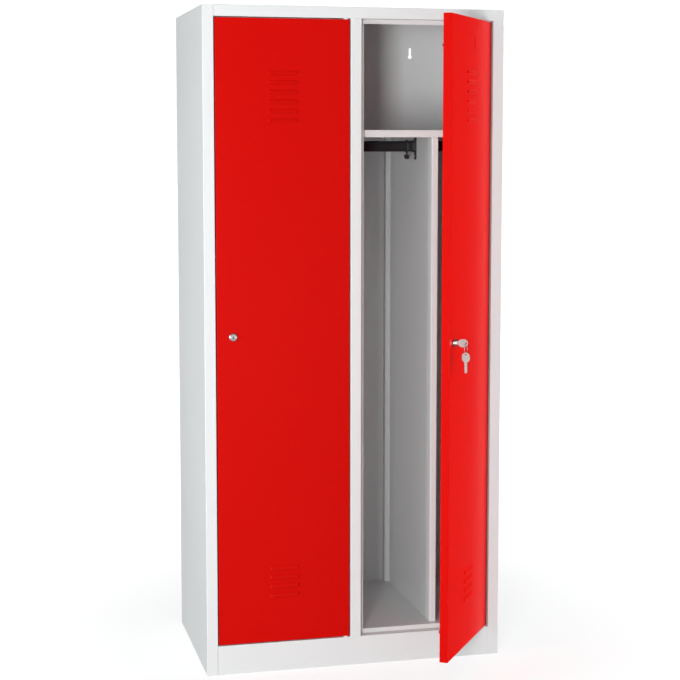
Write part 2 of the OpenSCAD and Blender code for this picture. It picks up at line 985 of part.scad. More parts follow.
side_panel();  // left_side_panel
mirror([1, 0, 0]) side_panel();  // right_side_panel
stile();  // left_stile
mirror([1, 0, 0]) stile();  // right_stile
side_flange();  // left_rear_flange
mirror([1, 0, 0]) side_flange();  // right_rear_flange
top_panel();
bottom_panel();
back_panel();
base_frame();
centre_stile();
centre_partition();
partition_flange();
hat_shelf(0);  // left_hat_shelf
hat_shelf(1);  // right_hat_shelf
divider(0);  // left_divider
divider(1);  // right_divider
clothes_rails(0);  // left_clothes_rails
clothes_rails(1);  // right_clothes_rails
rail_sockets();
rail_screws();
coat_hook(wide_hook_x(0, false));  // left_wide_hook_a
coat_hook(wide_hook_x(0, true));  // left_wide_hook_b
coat_hook(narrow_hook_x(0));  // left_narrow_hook
coat_hook(wide_hook_x(1, false));  // right_wide_hook_a
coat_hook(wide_hook_x(1, true));  // right_wide_hook_b
coat_hook(narrow_hook_x(1));  // right_narrow_hook
hinge_bushes();
door_skin(0);  // left_door_skin
door_stiffener(0);  // left_door_stiffener
hinge_blocks(0);  // left_hinge_blocks
hinge_pins(0);  // left_hinge_pins
door_buffers(0);  // left_door_buffers
lock_housing(0);  // left_lock_housing
lock_nut(0);  // left_lock_nut
lock_plug(0);  // left_lock_plug
lock_cam(0);  // left_lock_cam
cam_screw(0);  // left_cam_screw
door_skin(1);  // right_door_skin
door_stiffener(1);  // right_door_stiffener
hinge_blocks(1);  // right_hinge_blocks
hinge_pins(1);  // right_hinge_pins
door_buffers(1);  // right_door_buffers
lock_housing(1);  // right_lock_housing
lock_nut(1);  // right_lock_nut
lock_plug(1);  // right_lock_plug
lock_cam(1);  // right_lock_cam
cam_screw(1);  // right_cam_screw
door_key();
key_ring();
spare_key();
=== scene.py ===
"""Looks of the steel clothing locker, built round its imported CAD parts.

Every part is copied from the frame, welded into whole faces and given the rounded edges that
folded sheet, moulded plastic and turned metal have. Each side wall and the partition become
one folded sheet, the dividers get a channel along their rear edge, and the doors get rounded
folds. The screws, lock bodies, keys and split ring get detail that the CAD leaves out. All
finishes are procedural. Lengths are metres.
"""
import json
import math

import bpy
from mathutils import Matrix, Vector

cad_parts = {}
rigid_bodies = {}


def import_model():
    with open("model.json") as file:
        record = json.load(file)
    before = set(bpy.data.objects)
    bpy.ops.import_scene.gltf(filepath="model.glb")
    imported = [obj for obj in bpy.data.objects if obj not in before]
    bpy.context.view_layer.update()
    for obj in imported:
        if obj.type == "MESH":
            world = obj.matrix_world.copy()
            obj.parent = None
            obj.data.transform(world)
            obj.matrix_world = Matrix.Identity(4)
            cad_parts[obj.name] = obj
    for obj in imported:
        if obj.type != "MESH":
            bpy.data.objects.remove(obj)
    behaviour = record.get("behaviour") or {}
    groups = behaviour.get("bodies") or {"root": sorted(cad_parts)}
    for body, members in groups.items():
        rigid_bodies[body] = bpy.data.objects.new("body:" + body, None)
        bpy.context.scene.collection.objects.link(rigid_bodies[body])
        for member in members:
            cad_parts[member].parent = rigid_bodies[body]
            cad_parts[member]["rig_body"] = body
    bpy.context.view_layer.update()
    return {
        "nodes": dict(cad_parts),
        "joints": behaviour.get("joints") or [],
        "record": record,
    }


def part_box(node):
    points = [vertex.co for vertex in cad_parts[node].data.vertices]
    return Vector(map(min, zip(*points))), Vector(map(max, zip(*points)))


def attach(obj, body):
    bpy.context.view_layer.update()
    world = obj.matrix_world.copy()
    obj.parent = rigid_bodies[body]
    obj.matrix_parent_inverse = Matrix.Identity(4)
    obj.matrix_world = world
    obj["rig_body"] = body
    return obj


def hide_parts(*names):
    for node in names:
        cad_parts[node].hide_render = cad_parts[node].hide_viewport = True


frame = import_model()

NODES = frame["nodes"]
JOINTS = {joint["name"]: joint for joint in frame["joints"]}
SLOT_OF = {part["node"]: part["material_slot"] for part in frame["record"]["subparts"]}
SIDES = ("left", "right")
MM = 0.001

# ---- Modelling helpers ----
WELD_DISTANCE = 0.005 * MM
FLAT_ANGLE = math.radians(0.2)
SMOOTH_ANGLE = math.radians(32)
EDGE_ANGLE = math.radians(30)
EDGE_SEGMENTS = 2


def only(*objects):
    """Selects these objects and nothing else. The first one becomes the active one."""
    bpy.ops.object.select_all(action="DESELECT")
    for obj in objects:
        obj.select_set(True)
    bpy.context.view_layer.objects.active = objects[0]


def choose(obj, kind, test=lambda item: True):
    """Enters edit mode with the vertices, edges or faces chosen that pass the test."""
    only(obj)
    bpy.ops.object.mode_set(mode="EDIT")
    bpy.ops.mesh.select_mode(type=kind)
    bpy.ops.mesh.select_all(action="DESELECT")
    bpy.ops.object.mode_set(mode="OBJECT")
    mesh = obj.data
    items = {"VERT": mesh.vertices, "EDGE": mesh.edges, "FACE": mesh.polygons}[kind]
    for item in [item for item in items if test(item)]:
        item.select = True
    bpy.ops.object.mode_set(mode="EDIT")


def done():
    """Leaves edit mode."""
    bpy.ops.object.mode_set(mode="OBJECT")


def primitive(add_primitive, scale=(1, 1, 1), **settings):
    """Adds a primitive with nothing else selected. Its place and size go into its mesh."""
    bpy.ops.object.select_all(action="DESELECT")
    add_primitive(**settings)
    piece = bpy.context.object
    piece.scale = scale
    bpy.ops.object.transform_apply()
    return piece


def block(size, place, turn=0.0):
    """A box to cut with."""
    return primitive(bpy.ops.mesh.primitive_cube_add, size, size=1, location=place,
                     rotation=(0, 0, turn))


def copy_of(name, mesh):
    """A new object with its own copy of a mesh."""
    obj = bpy.data.objects.new(name, mesh.copy())
    bpy.context.scene.collection.objects.link(obj)
    return obj


def join(name, pieces):
    """Makes one piece of several."""
    only(*pieces)
    if len(pieces) > 1:
        bpy.ops.object.join()
    pieces[0].name = name
    return pieces[0]


def put_in_place(piece, place):
    """Moves a piece by a matrix and leaves the place in its mesh."""
    only(piece)
    piece.matrix_world = place
    bpy.ops.object.transform_apply()


def apply_modifier(obj, name, kind, **settings):
    """Gives an object a modifier with these settings and applies it."""
    modifier = obj.modifiers.new(name, kind)
    for key, value in settings.items():
        setattr(modifier, key, value)
    only(obj)
    bpy.ops.object.modifier_apply(modifier=modifier.name)


def cut(piece, *cutters):
    """Cuts the cutters out of a piece and throws them away."""
    for cutter in cutters:
        apply_modifier(piece, "cut", "BOOLEAN", object=cutter, operation="DIFFERENCE",
                       solver="EXACT")
        bpy.data.objects.remove(cutter)


def turned(name, profile, segments=64, closed=False):
    """A piece turned about Z from (radius, height) points. A closed profile makes a ring."""
    radius, height = profile[0]
    piece = primitive(bpy.ops.mesh.primitive_circle_add, vertices=segments, radius=radius,
                      location=(0, 0, height))
    piece.name = name
    choose(piece, "VERT")
    if not closed:
        bpy.ops.mesh.edge_face_add()
        bpy.ops.mesh.select_mode(type="FACE")
    for next_radius, next_height in profile[1:]:
        bpy.ops.mesh.extrude_region_move(
            TRANSFORM_OT_translate={"value": (0, 0, next_height - height)})
        growth = next_radius / radius
        bpy.ops.transform.resize(value=(growth, growth, 1),
                                 center_override=(0, 0, next_height))
        radius, height = next_radius, next_height
    bpy.ops.mesh.select_mode(type="VERT")
    bpy.ops.mesh.select_all(action="SELECT")
    bpy.ops.mesh.remove_doubles(threshold=WELD_DISTANCE)
    bpy.ops.mesh.normals_make_consistent(inside=False)
    done()
    return piece


def welded(name, *nodes):
    """A new piece with the shape of these CAD parts, its loose triangles made whole faces."""
    piece = join(name, [copy_of(name, NODES[node].data) for node in nodes])
    choose(piece, "FACE")
    bpy.ops.mesh.remove_doubles(threshold=WELD_DISTANCE)
    bpy.ops.mesh.customdata_custom_splitnormals_clear()
    bpy.ops.mesh.dissolve_limited(angle_limit=FLAT_ANGLE)
    done()
    return piece


def smooth(piece):
    """Smooths the curved faces of a piece and keeps its flat faces flat."""
    only(piece)
    bpy.ops.object.shade_smooth_by_angle(angle=SMOOTH_ANGLE)
    apply_modifier(piece, "flat faces", "WEIGHTED_NORMAL", keep_sharp=True)


def soften(piece, width):
    """Rounds the sharp edges of a piece and welds up the slivers that this leaves."""
    apply_modifier(piece, "rounded edges", "BEVEL", width=width,
                   segments=EDGE_SEGMENTS, limit_method="ANGLE", angle_limit=EDGE_ANGLE)
    choose(piece, "FACE")
    bpy.ops.mesh.remove_doubles(threshold=WELD_DISTANCE)
    bpy.ops.mesh.dissolve_degenerate(threshold=WELD_DISTANCE)
    done()
    smooth(piece)


# ---- Finish helpers ----
def set_inputs(tree, node, inputs):
    """Gives a shader node its values, and links the inputs that other nodes feed."""
    for key, value in inputs.items():
        if isinstance(value, bpy.types.NodeSocket):
            tree.links.new(value, node.inputs[key])
        else:
            node.inputs[key].default_value = value


def add(tree, kind, inputs=(), **settings):
    """Adds a shader node, with its settings and its inputs."""
    node = tree.nodes.new(kind)
    for key, value in settings.items():
        setattr(node, key, value)
    set_inputs(tree, node, dict(inputs))
    return node


def calculate(tree, operation, *values):
    """One step of arithmetic on numbers and sockets."""
    return add(tree, "ShaderNodeMath", enumerate(values), operation=operation).outputs[0]


def mix_values(tree, share, first, second):
    """A value that goes from the first to the second with the share."""
    return add(tree, "ShaderNodeMix", {0: share, 2: first, 3: second}).outputs[0]


def mix_colours(tree, share, first, second):
    """A colour that goes from the first to the second with the share."""
    return add(tree, "ShaderNodeMix", {0: share, 6: first, 7: second},
               data_type="RGBA").outputs[2]


def grain(tree, place, per_metre, detail, roughness=0.5):
    """Cloudy noise with about this many clouds to the metre, from 0 to 1."""
    return add(tree, "ShaderNodeTexNoise", {"Vector": place, "Scale": per_metre,
                                            "Detail": detail,
                                            "Roughness": roughness}).outputs["Fac"]


def object_place(tree):
    """The object's own coordinates, which are metres in the locker's frame."""
    return add(tree, "ShaderNodeTexCoord").outputs["Object"]


def new_surface(name, inputs):
    """A group for a finish, with sockets for what goes in and for what comes out."""
    group = bpy.data.node_groups.new(name, "ShaderNodeTree")
    for label, value in inputs.items():
        kind = "NodeSocketFloat" if isinstance(value, float) else "NodeSocketColor"
        socket = group.interface.new_socket(label, in_out="INPUT", socket_type=kind)
        socket.default_value = value
    for label, kind in (("Color", "NodeSocketColor"), ("Roughness", "NodeSocketFloat"),
                        ("Height", "NodeSocketFloat")):
        group.interface.new_socket(label, in_out="OUTPUT", socket_type=kind)
    return group, add(group, "NodeGroupInput").outputs


def close_surface(group, given, swing, colour, height):
    """Ends a group. The roughness changes with the swing, which is 0 on average."""
    rough = calculate(group, "MULTIPLY_ADD", swing, given["Roughness change"],
                      given["Roughness"])
    add(group, "NodeGroupOutput", {"Color": colour, "Roughness": rough, "Height": height})
    return group


def make_powder_coat():
    """Baked powder paint: an orange-peel surface on sheet that is never quite flat."""
    group, given = new_surface("powder coat", {
        "Paint": (0.8, 0.8, 0.8, 1), "Shade change": 0.03, "Roughness": 0.4,
        "Roughness change": 0.08, "Peel size": 1.4 * MM, "Waviness": 0.3})
    place = object_place(group)
    peels = calculate(group, "DIVIDE", 1.0, given["Peel size"])
    peel = grain(group, place, per_metre=peels, detail=3.0, roughness=0.55)
    wave = grain(group, place, per_metre=7.0, detail=1.0)
    cloud = grain(group, place, per_metre=2.3, detail=4.0, roughness=0.6)
    speck = grain(group, place, per_metre=2600.0, detail=1.0)
    patch = calculate(group, "ADD", cloud, speck)
    swing = calculate(group, "ADD", patch, -1.0)
    shade = calculate(group, "MULTIPLY_ADD", swing, given["Shade change"], 1.0)
    colour = add(group, "ShaderNodeHueSaturation", {"Value": shade, "Color": given["Paint"]})
    height = calculate(group, "MULTIPLY_ADD", wave, given["Waviness"], peel)
    return close_surface(group, given, swing, colour.outputs[0], height)


LINE_SHAPE = (1, 1, 0.04)


def make_worked_metal():
    """Plated or drawn metal: fine lines along Z and faint stains."""
    group, given = new_surface("worked metal", {
        "Metal": (0.7, 0.7, 0.7, 1), "Stain": (0.6, 0.6, 0.55, 1), "Stains": 0.2,
        "Roughness": 0.25, "Roughness change": 0.2, "Line size": 0.2 * MM})
    place = object_place(group)
    drawn_out = add(group, "ShaderNodeMapping", {"Vector": place, "Scale": LINE_SHAPE})
    strokes = calculate(group, "DIVIDE", 1.0, given["Line size"])
    lines = grain(group, drawn_out.outputs[0], per_metre=strokes, detail=3.0, roughness=0.6)
    blots = grain(group, place, per_metre=160.0, detail=3.0, roughness=0.6)
    stained = calculate(group, "MULTIPLY", blots, given["Stains"])
    colour = mix_colours(group, stained, given["Metal"], given["Stain"])
    swing = calculate(group, "ADD", lines, -0.5)
    return close_surface(group, given, swing, colour, lines)


def make_moulded_grain():
    """Spark-eroded grain on moulded plastic and rubber, with slightly duller patches."""
    group, given = new_surface("moulded grain", {
        "Tint": (0.05, 0.05, 0.05, 1), "Dust": (0.4, 0.4, 0.4, 1), "Dustiness": 0.05,
        "Roughness": 0.5, "Roughness change": 0.15, "Grain size": 0.5 * MM})
    place = object_place(group)
    cells = add(group, "ShaderNodeTexVoronoi", {
        "Vector": place, "Scale": calculate(group, "DIVIDE", 1.0, given["Grain size"])})
    patches = grain(group, place, per_metre=45.0, detail=3.0, roughness=0.6)
    dusty = calculate(group, "MULTIPLY", patches, given["Dustiness"])
    colour = mix_colours(group, dusty, given["Tint"], given["Dust"])
    swing = calculate(group, "ADD", patches, -0.5)
    return close_surface(group, given, swing, colour, cells.outputs["Distance"])


POWDER_COAT = make_powder_coat()
WORKED_METAL = make_worked_metal()
MOULDED_GRAIN = make_moulded_grain()


def finish(name, group, values, relief, metallic=0.0, specular=0.5):
    """A material whose colour, roughness and relief come from one of the groups."""
    material = bpy.data.materials.new(name)
    material.use_nodes = True
    tree = material.node_tree
    surface = add(tree, "ShaderNodeGroup", values, node_tree=group).outputs
    bump = add(tree, "ShaderNodeBump", {"Height": surface["Height"], "Distance": relief,
                                        "Strength": 1.0})
    set_inputs(tree, tree.nodes["Principled BSDF"], {
        "Base Color": surface["Color"], "Roughness": surface["Roughness"],
        "Normal": bump.outputs["Normal"], "Metallic": metallic,
        "Specular IOR Level": specular})
    return material


FINISHES = {
    "carcass_paint": finish(
        "light grey paint", POWDER_COAT,
        {"Paint": (0.63, 0.645, 0.645, 1), "Shade change": 0.03, "Roughness": 0.42,
         "Peel size": 1.6 * MM, "Waviness": 1.2}, relief=0.05 * MM),
    "door_paint": finish(
        "red paint", POWDER_COAT,
        {"Paint": (0.5, 0.0025, 0.0012, 1), "Shade change": 0.03, "Roughness": 0.3,
         "Peel size": 1.4 * MM, "Waviness": 1.2}, relief=0.04 * MM, specular=0.05),
    "rail_paint": finish(
        "black rail paint", POWDER_COAT,
        {"Paint": (0.012, 0.012, 0.014, 1), "Shade change": 0.1, "Roughness": 0.35,
         "Peel size": 1.0 * MM}, relief=0.04 * MM, specular=0.2),
    "black_plastic": finish(
        "black plastic", MOULDED_GRAIN,
        {"Tint": (0.014, 0.014, 0.016, 1), "Dust": (0.2, 0.2, 0.2, 1), "Dustiness": 0.05,
         "Roughness": 0.45, "Grain size": 0.5 * MM}, relief=0.03 * MM),
    "white_plastic": finish(
        "white plastic", MOULDED_GRAIN,
        {"Tint": (0.8, 0.8, 0.77, 1), "Dust": (0.55, 0.53, 0.48, 1), "Dustiness": 0.2,
         "Roughness": 0.4, "Grain size": 0.5 * MM}, relief=0.02 * MM),
    "zinc_steel": finish(
        "zinc-plated steel", WORKED_METAL,
        {"Metal": (0.62, 0.63, 0.64, 1), "Stain": (0.55, 0.52, 0.42, 1), "Stains": 0.5,
         "Roughness": 0.34, "Line size": 0.4 * MM}, relief=0.01 * MM, metallic=1.0),
    "nickel": finish(
        "nickel plate", WORKED_METAL,
        {"Metal": (0.8, 0.79, 0.76, 1), "Stain": (0.55, 0.52, 0.47, 1), "Stains": 0.2,
         "Roughness": 0.3, "Roughness change": 0.2, "Line size": 0.15 * MM},
        relief=0.004 * MM, metallic=1.0),
    "ring_steel": finish(
        "spring steel", WORKED_METAL,
        {"Metal": (0.74, 0.74, 0.74, 1), "Stain": (0.5, 0.48, 0.45, 1), "Stains": 0.3,
         "Roughness": 0.34, "Line size": 0.2 * MM}, relief=0.004 * MM, metallic=1.0),
    "buffer_rubber": finish(
        "black rubber", MOULDED_GRAIN,
        {"Tint": (0.02, 0.02, 0.02, 1), "Dust": (0.3, 0.3, 0.29, 1), "Dustiness": 0.12,
         "Roughness": 0.75, "Grain size": 0.35 * MM}, relief=0.02 * MM),
}

# ---- Seats in the frame ----
SHEET = 1.0 * MM
SHEET_EDGE = 0.25 * MM


def seat(piece, *nodes):
    """Lets a piece stand for its CAD parts, ride with them and take their finish."""
    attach(piece, NODES[nodes[0]]["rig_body"])
    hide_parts(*nodes)
    piece.data.materials.clear()
    piece.data.materials.append(FINISHES[SLOT_OF[nodes[0]]])


def soften_copies(widths):
    """Replaces each of these parts by a copy with its edges rounded to this width."""
    for node, width in widths.items():
        piece = welded(node + "_piece", node)
        soften(piece, width)
        seat(piece, node)


def lock_frame(side):
    """Puts a lock's own axes in place: X along the door, Y into the locker, Z up."""
    joint = JOINTS[side + "_lock_turn"]
    inward = -Vector(joint["axis"])
    up = Vector((0, 0, 1))
    along = inward.cross(up)
    axes = Matrix((along, inward, up)).transposed().to_4x4()
    return Matrix.Translation(joint["pos_m"]) @ axes


# Turns a piece that was made along Z to lie along a lock's Y, into the locker
Z_TO_LOCK = Matrix.Rotation(math.radians(-90), 4, "X")

# ---- Cabinet ----
FRAME_EDGE = 0.35 * MM
LIP_REAR_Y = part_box("left_side_panel")[0].y
REAR_FOLD_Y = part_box("left_side_panel")[1].y
PARTITION_FOLD_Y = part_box("centre_partition")[0].y

CHANNEL_WIDTH = 14.0 * MM
CHANNEL_DEPTH = 23.0 * MM


def folded_sheet(name, nodes, wall, seams):
    """One folded sheet out of its stretches. Seams are the Y in the wall where they met."""
    piece = welded(name, *nodes)
    points = piece.data.vertices
    low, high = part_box(wall)

    def in_seam(face):
        corners = [points[i].co for i in face.vertices]
        return low.x - WELD_DISTANCE < face.center.x < high.x + WELD_DISTANCE and any(
            all(abs(corner.y - y) < WELD_DISTANCE for corner in corners) for y in seams)

    choose(piece, "FACE", in_seam)
    bpy.ops.mesh.delete(type="ONLY_FACE")
    done()
    choose(piece, "FACE")
    bpy.ops.mesh.dissolve_limited(angle_limit=FLAT_ANGLE)
    done()
    soften(piece, SHEET_EDGE)
    seat(piece, *nodes)


def make_divider(side):
    """A divider with the channel that stiffens its rear edge and meets the back panel."""
    node = side + "_divider"
    low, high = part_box(node)
    face_middle = (low.x - CHANNEL_WIDTH / 2, high.y - CHANNEL_DEPTH, (low.z + high.z) / 2)
    channel = primitive(bpy.ops.mesh.primitive_plane_add, (CHANNEL_WIDTH, high.z - low.z, 1),
                        size=1, location=face_middle, rotation=(math.radians(90), 0, 0))
    points = channel.data.vertices
    choose(channel, "EDGE", lambda edge: all(
        points[i].co.x < low.x - WELD_DISTANCE for i in edge.vertices))
    bpy.ops.mesh.extrude_edges_move(TRANSFORM_OT_translate={"value": (0, CHANNEL_DEPTH, 0)})
    bpy.ops.mesh.select_all(action="SELECT")
    bpy.ops.mesh.normals_make_consistent(inside=False)
    done()
    apply_modifier(channel, "thickness", "SOLIDIFY", thickness=SHEET, offset=-1,
                   use_even_offset=True)
    piece = join(side + "_divider_piece", [welded(node, node), channel])
    soften(piece, SHEET_EDGE)
    seat(piece, node)


def make_cabinet():
    """The carcass, its shelves and its dividers."""
    for side in SIDES:
        folded_sheet(
            side + "_side_wall",
            [side + "_stile", side + "_side_panel", side + "_rear_flange"],
            side + "_side_panel", [LIP_REAR_Y, REAR_FOLD_Y])
    folded_sheet("partition_sheet", ["partition_flange", "centre_partition"],
                 "centre_partition", [PARTITION_FOLD_Y])
    soften_copies({
        "top_panel": SHEET_EDGE, "bottom_panel": SHEET_EDGE, "back_panel": SHEET_EDGE,
        "base_frame": FRAME_EDGE, "centre_stile": SHEET_EDGE, "left_hat_shelf": SHEET_EDGE,
        "right_hat_shelf": SHEET_EDGE})
    for side in SIDES:
        make_divider(side)


# ---- Fittings in the bays ----
SCREW_SEGMENTS = 32
SCREW_EDGE = 0.08 * MM
# From the tip to the head's seat, in shares of the shank's radius and length
SCREW_SHANK = ((0.6, 1.0), (1.0, 0.9), (1.0, 0.0))
# From the seat to the crown, in shares of the head's radius and height
SCREW_HEAD = ((1.0, 0.0), (1.0, 0.3), (0.94, 0.62), (0.76, 0.88), (0.45, 1.0))
# The cutter for an arm of the cross recess, half of it above the crown, in shares too
RECESS_LENGTH, RECESS_WIDTH, RECESS_HEIGHT = 1.15, 0.24, 1.2

RAIL_SCREW = {"head_radius": 3.4 * MM, "head_height": 1.9 * MM,
              "shank_radius": 1.9 * MM, "shank_length": 2.5 * MM}
# Only the head of a rail screw reaches further from its axis than this
BEYOND_SHANK = 2.2 * MM
TURN_BETWEEN_SCREWS = 0.7  # radians


def pan_screw(name, head_radius, head_height, shank_radius, shank_length):
    """A pan-head screw along Z with its head's seat at the origin and a cross recess."""
    shank = [(shank_radius * wide, -shank_length * down) for wide, down in SCREW_SHANK]
    head = [(head_radius * wide, head_height * up) for wide, up in SCREW_HEAD]
    piece = turned(name, shank + head, SCREW_SEGMENTS)
    arm = (head_radius * RECESS_LENGTH, head_radius * RECESS_WIDTH,
           head_height * RECESS_HEIGHT)
    cut(piece, *(block(arm, (0, 0, head_height), turn) for turn in (0, math.pi / 2)))
    soften(piece, SCREW_EDGE)
    return piece


def make_rail_screws():
    """Two pan-head screws in each rail socket, where the CAD screws are."""
    guides = welded("screw guides", "rail_screws")
    only(guides)
    bpy.ops.mesh.separate(type="LOOSE")
    guides = list(bpy.context.selected_objects)
    pattern = pan_screw("rail_fixing_screws", **RAIL_SCREW)
    screws = []
    for number, guide in enumerate(guides):
        points = [vertex.co for vertex in guide.data.vertices]
        middle = sum(points, Vector()) / len(points)
        every_x = [point.x for point in points]
        head_x = [point.x for point in points
                  if math.hypot(point.y - middle.y, point.z - middle.z) > BEYOND_SHANK]
        faces_right = sum(head_x) / len(head_x) > (min(every_x) + max(every_x)) / 2
        seat_x = min(head_x) if faces_right else max(head_x)
        aim = Matrix.Rotation(math.radians(90 if faces_right else -90), 4, "Y")
        spin = Matrix.Rotation(number * TURN_BETWEEN_SCREWS, 4, "Z")
        screw = copy_of("rail_fixing_screws", pattern.data)
        put_in_place(screw, Matrix.Translation((seat_x, middle.y, middle.z)) @ aim @ spin)
        screws.append(screw)
    for spare in [pattern, *guides]:
        bpy.data.objects.remove(spare)
    seat(join("rail_fixing_screws", screws), "rail_screws")


def make_fittings():
    """The clothes rails with their sockets, hooks and screws, and the doors' bushes."""
    soften_copies({"left_clothes_rails": 0.3 * MM, "right_clothes_rails": 0.3 * MM,
                   "rail_sockets": 0.5 * MM, "hinge_bushes": 0.3 * MM})
    soften_copies({f"{side}_{hook}": 0.9 * MM for side in SIDES
                   for hook in ("wide_hook_a", "wide_hook_b", "narrow_hook")})
    make_rail_screws()


# ---- Doors ----
DOOR_FOLD_RADIUS = 1.2 * MM
DOOR_EDGE = 0.2 * MM


def make_door(side):
    """A door: what is fixed inside it, and its skin with the top and bottom folds rounded."""
    soften_copies({
        side + "_door_stiffener": SHEET_EDGE, side + "_hinge_blocks": 0.4 * MM,
        side + "_hinge_pins": 0.5 * MM, side + "_door_buffers": 0.9 * MM})
    node = side + "_door_skin"
    skin = welded(side + "_door_leaf", node)
    points = skin.data.vertices
    to_lock = lock_frame(side).inverted()
    heights = [(to_lock @ point.co).z for point in points]
    folds = (min(heights), max(heights))

    def front_fold(edge):
        ends = [to_lock @ points[i].co for i in edge.vertices]
        return all(abs(end.y) < WELD_DISTANCE for end in ends) and any(
            all(abs(end.z - z) < WELD_DISTANCE for end in ends) for z in folds)

    choose(skin, "EDGE", front_fold)
    bpy.ops.mesh.bevel(offset=DOOR_FOLD_RADIUS, segments=4, affect="EDGES",
                       clamp_overlap=True)
    done()
    soften(skin, DOOR_EDGE)
    seat(skin, node)


# ---- Locks ----
LOCK_HEAD_DEPTH = 5.0 * MM
LOCK_HEAD_RADIUS = 11.5 * MM
BARREL_RADIUS = 9.0 * MM
PLUG_RADIUS = 6.0 * MM
PLUG_CLEARANCE = 0.05 * MM
PLUG_BORE = PLUG_RADIUS + PLUG_CLEARANCE
RIM_HEIGHT = 0.3 * MM
RIM_FOOT = 0.7 * LOCK_HEAD_RADIUS
# From the raised rim round to the side, in shares of the head's radius and depth
LOCK_HEAD_CURVE = ((0.74, 1.0), (0.8, 1.0), (0.88, 0.86), (0.96, 0.66), (1.0, 0.45))
THREAD_PITCH = 1.2 * MM
THREAD_DEPTH = 0.45 * MM
THREAD_START = 0.3 * THREAD_PITCH

CAM_SCREW_HEAD_RADIUS = 5.4 * MM
CAM_SCREW_HEAD_HEIGHT = 2.0 * MM
CAM_SCREW_SHANK_RADIUS = 2.0 * MM


def depths_at_lock(side, node):
    """How far in from the door's face a lock's part starts and ends."""
    to_lock = lock_frame(side).inverted()
    depths = [(to_lock @ vertex.co).y for vertex in NODES[node].data.vertices]
    return min(depths), max(depths)


def make_housing(side):
    """A turned housing: a head with a raised rim, and a threaded barrel."""
    node = side + "_lock_housing"
    back = depths_at_lock(side, node)[1]
    face = RIM_HEIGHT - LOCK_HEAD_DEPTH
    head = [
        (PLUG_BORE, back), (PLUG_BORE, face + RIM_HEIGHT), (PLUG_BORE + RIM_HEIGHT, face),
        (RIM_FOOT, face),
        *((LOCK_HEAD_RADIUS * wide, -LOCK_HEAD_DEPTH * deep)
          for wide, deep in LOCK_HEAD_CURVE),
        (LOCK_HEAD_RADIUS, -RIM_HEIGHT), (LOCK_HEAD_RADIUS - RIM_HEIGHT, 0),
        (BARREL_RADIUS, 0), (BARREL_RADIUS, SHEET)]
    turns = int((back - SHEET) / THREAD_PITCH) - 1
    crests = [SHEET + THREAD_START + turn * THREAD_PITCH for turn in range(turns + 1)]
    thread = []
    for crest in crests[:-1]:
        thread += [(BARREL_RADIUS, crest),
                   (BARREL_RADIUS - THREAD_DEPTH, crest + THREAD_PITCH / 2)]
    end = [(BARREL_RADIUS, crests[-1]), (BARREL_RADIUS - THREAD_DEPTH, back),
           (PLUG_BORE, back)]
    piece = turned(side + "_lock_body", head + thread + end, closed=True)
    put_in_place(piece, lock_frame(side) @ Z_TO_LOCK)
    smooth(piece)
    seat(piece, node)


def make_cam_screw(side):
    """The pan-head screw that holds the cam on the plug."""
    node = side + "_cam_screw"
    tip, crown = depths_at_lock(side, node)
    seat_depth = crown - CAM_SCREW_HEAD_HEIGHT
    piece = pan_screw(side + "_cam_fixing_screw", CAM_SCREW_HEAD_RADIUS,
                      CAM_SCREW_HEAD_HEIGHT, CAM_SCREW_SHANK_RADIUS, seat_depth - tip)
    put_in_place(piece, lock_frame(side) @ Matrix.Translation((0, seat_depth, 0))
                 @ Z_TO_LOCK)
    seat(piece, node)


def make_lock(side):
    """A cam lock: housing, nut, plug, cam and the cam's screw."""
    make_housing(side)
    make_cam_screw(side)
    soften_copies({side + "_lock_nut": 0.4 * MM, side + "_lock_plug": 0.2 * MM,
                   side + "_lock_cam": 0.3 * MM})


# ---- Keys and split ring ----
KEY_THICKNESS = 2.0 * MM
KEY_EDGE = 0.2 * MM
BOW_LENGTH = 26.0 * MM
BLADE_START = BOW_LENGTH / 2
BLADE_END = BLADE_START + 28.0 * MM
HOLE_OFFSET = 8.0 * MM

PANEL_MIDDLE = 2.2 * MM
PANEL_RADII = (6.4 * MM, 7.8 * MM)
PANEL_DEPTH = 0.4 * MM

GROOVE_START = BLADE_START + 1.5 * MM
GROOVE_END = BLADE_END - 3.0 * MM
GROOVE_WIDTH = 1.0 * MM
GROOVE_DEPTH = 0.45 * MM
# The two faces' grooves lie a step to either side of this line
GROOVE_MIDDLE = -0.4 * MM
GROOVE_STEP = 0.9 * MM

RING_RADIUS = 13.0 * MM
WIRE_WIDTH = 1.35 * MM
WIRE_THICKNESS = 0.7 * MM
WIRE_ROUNDING = 0.3 * WIRE_THICKNESS
WIRE_PITCH = 0.76 * MM
RING_STEPS = 96

# From a key's own axes, the blade along X and the thickness along Z, to a lock's axes
BLADE_INWARD = Matrix(((0, 0, 1, 0), (1, 0, 0, 0), (0, 1, 0, 0), (0, 0, 0, 1)))
BLADE_DOWN = Matrix(((0, 0, 1, 0), (0, 1, 0, 0), (-1, 0, 0, 0), (0, 0, 0, 1)))


def make_key(node, place):
    """A key with a sunk panel in each face of its bow and a groove along its blade.

    The place takes a key from its own axes, with the bow's middle at the origin, to where
    the CAD key is.
    """
    key = welded(node + "_cut", node)
    put_in_place(key, place.inverted())
    for face in (-1, 1):
        z = face * KEY_THICKNESS / 2
        panel = primitive(bpy.ops.mesh.primitive_cylinder_add, (*PANEL_RADII, 1), vertices=48,
                          radius=1, depth=2 * PANEL_DEPTH, location=(PANEL_MIDDLE, 0, z))
        groove = block(
            (GROOVE_END - GROOVE_START, GROOVE_WIDTH, 2 * GROOVE_DEPTH),
            ((GROOVE_START + GROOVE_END) / 2, GROOVE_MIDDLE - face * GROOVE_STEP, z))
        cut(key, panel, groove)
    put_in_place(key, place)
    soften(key, KEY_EDGE)
    seat(key, node)


